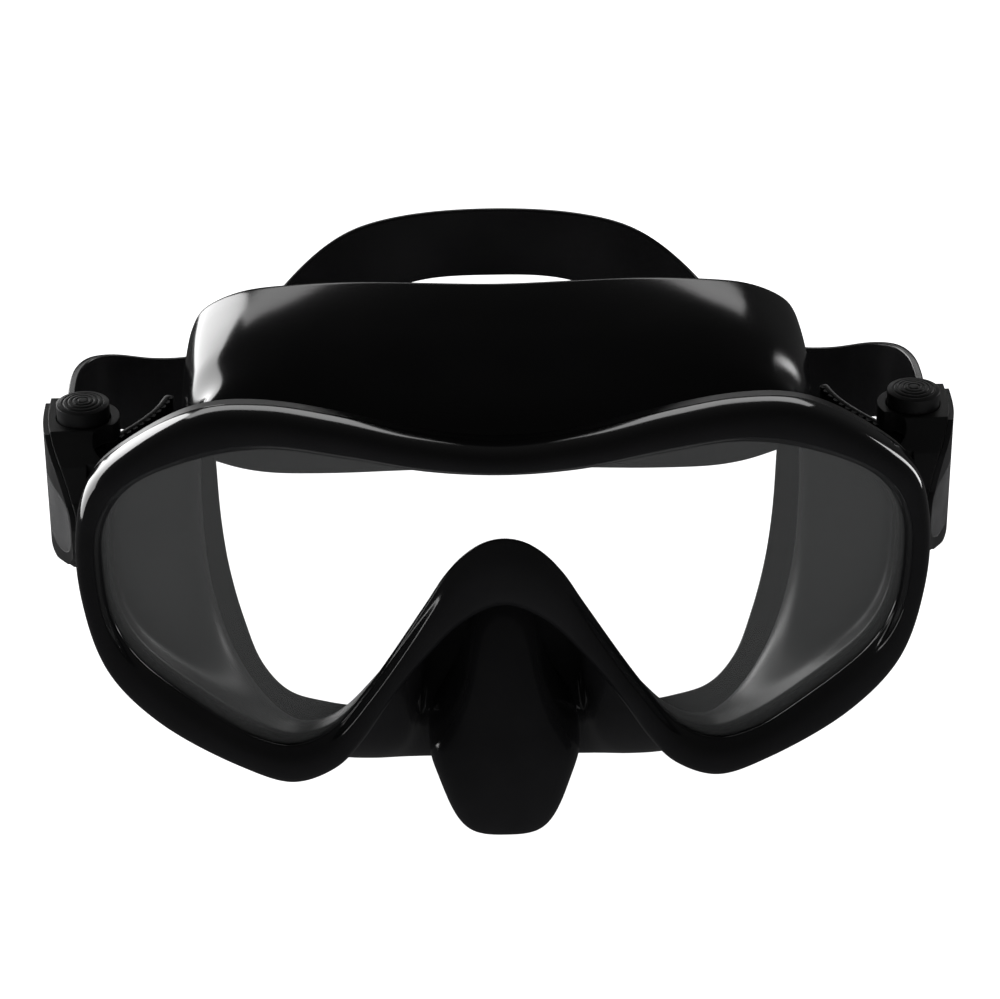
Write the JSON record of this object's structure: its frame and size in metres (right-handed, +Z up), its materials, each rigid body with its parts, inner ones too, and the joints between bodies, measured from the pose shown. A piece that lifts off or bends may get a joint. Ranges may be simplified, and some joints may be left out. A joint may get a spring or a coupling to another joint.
{
  "type": "diving mask",
  "caption": "Single-lens diving mask: glossy front frame, tempered lens, silicone skirt with nose pocket, squeeze-release side buckles and split head strap.",
  "frame": {"origin": "centre of the footprint rectangle, on the surface the mask stands on", "axes": "+X to the right of someone facing the lens, +Y from the lens back towards the wearer's head, +Z up"},
  "size_m": [0.1882, 0.1192, 0.1044],
  "materials": {
    "bezel": "polished black",
    "lens_glass": "clear tempered glass",
    "frame": "satin black",
    "silicone_skirt": "glossy black silicone",
    "silicone_strap": "satin black silicone",
    "buckle": "fine matt black",
    "cover": "fine matt black",
    "inlay": "textured dark grey",
    "button": "matt black with rings",
    "roller": "smooth acetal",
    "pawl": "smooth acetal",
    "pin_steel": "ground",
    "spring_steel": "drawn wire"
  },
  "bodies": {
    "mask": {"front_frame": "bezel", "lens": "lens_glass", "main_frame": "frame", "skirt": "silicone_skirt"},
    "left_buckle": {"left_buckle_housing": "buckle", "left_side_cover": "cover", "left_cover_inlay": "inlay", "left_hinge_pin": "pin_steel", "left_pawl_pin": "pin_steel", "left_top_spring": "spring_steel", "left_bottom_spring": "spring_steel", "strap": "silicone_strap"},
    "right_buckle": {"right_buckle_housing": "buckle", "right_side_cover": "cover", "right_cover_inlay": "inlay", "right_hinge_pin": "pin_steel", "right_pawl_pin": "pin_steel", "right_top_spring": "spring_steel", "right_bottom_spring": "spring_steel"},
    "left_roller": {"left_strap_roller": "roller"},
    "left_pawl": {"left_ratchet_pawl": "pawl"},
    "left_top_button": {"left_top_button": "button"},
    "left_bottom_button": {"left_bottom_button": "button"},
    "right_roller": {"right_strap_roller": "roller"},
    "right_pawl": {"right_ratchet_pawl": "pawl"},
    "right_top_button": {"right_top_button": "button"},
    "right_bottom_button": {"right_bottom_button": "button"}
  },
  "joints": [
    {"name": "left_buckle_tilt", "type": "hinge", "parent": "mask", "child": "left_buckle", "pos_m": [-0.0826, -0.03869, 0.0635], "axis": [1, 0, 0], "range_deg": [-20, 20]},
    {"name": "left_top_press", "type": "slide", "parent": "left_buckle", "child": "left_top_button", "axis": [0, 0.0872, -0.9962], "range_m": [0, 0.0017], "stiffness_N_per_m": 600, "springref_m": -0.001, "deforming": ["left_top_spring"]},
    {"name": "left_bottom_press", "type": "slide", "parent": "left_buckle", "child": "left_bottom_button", "axis": [0, -0.0872, 0.9962], "range_m": [0, 0.0017], "stiffness_N_per_m": 600, "springref_m": -0.001, "deforming": ["left_bottom_spring"]},
    {"name": "left_pawl_release", "type": "hinge", "parent": "left_buckle", "child": "left_pawl", "pos_m": [-0.088, -0.03156, 0.06698], "axis": [0, -0.0872, 0.9962], "range_deg": [-15, 0]},
    {"name": "left_roller_spin", "type": "hinge", "parent": "left_buckle", "child": "left_roller", "pos_m": [-0.0856, -0.0222, 0.0678], "axis": [0, -0.0872, 0.9962], "continuous": true},
    {"name": "right_buckle_tilt", "type": "hinge", "parent": "mask", "child": "right_buckle", "pos_m": [0.0826, -0.03869, 0.0635], "axis": [1, 0, 0], "range_deg": [-20, 20]},
    {"name": "right_top_press", "type": "slide", "parent": "right_buckle", "child": "right_top_button", "axis": [0, 0.0872, -0.9962], "range_m": [0, 0.0017], "stiffness_N_per_m": 600, "springref_m": -0.001, "deforming": ["right_top_spring"]},
    {"name": "right_bottom_press", "type": "slide", "parent": "right_buckle", "child": "right_bottom_button", "axis": [0, -0.0872, 0.9962], "range_m": [0, 0.0017], "stiffness_N_per_m": 600, "springref_m": -0.001, "deforming": ["right_bottom_spring"]},
    {"name": "right_pawl_release", "type": "hinge", "parent": "right_buckle", "child": "right_pawl", "pos_m": [0.088, -0.03156, 0.06698], "axis": [0, -0.0872, 0.9962], "range_deg": [0, 15]},
    {"name": "right_roller_spin", "type": "hinge", "parent": "right_buckle", "child": "right_roller", "pos_m": [0.0856, -0.0222, 0.0678], "axis": [0, -0.0872, 0.9962], "continuous": true}
  ],
  "couplings": [
    {"joint": "left_bottom_press", "follows": "left_top_press", "ratio": 1},
    {"joint": "left_pawl_release", "follows": "left_top_press", "rad_per_m": -150},
    {"joint": "right_bottom_press", "follows": "right_top_press", "ratio": 1},
    {"joint": "right_pawl_release", "follows": "right_top_press", "rad_per_m": 150},
    {"joint": "right_buckle_tilt", "follows": "left_buckle_tilt", "ratio": 1}
  ]
}
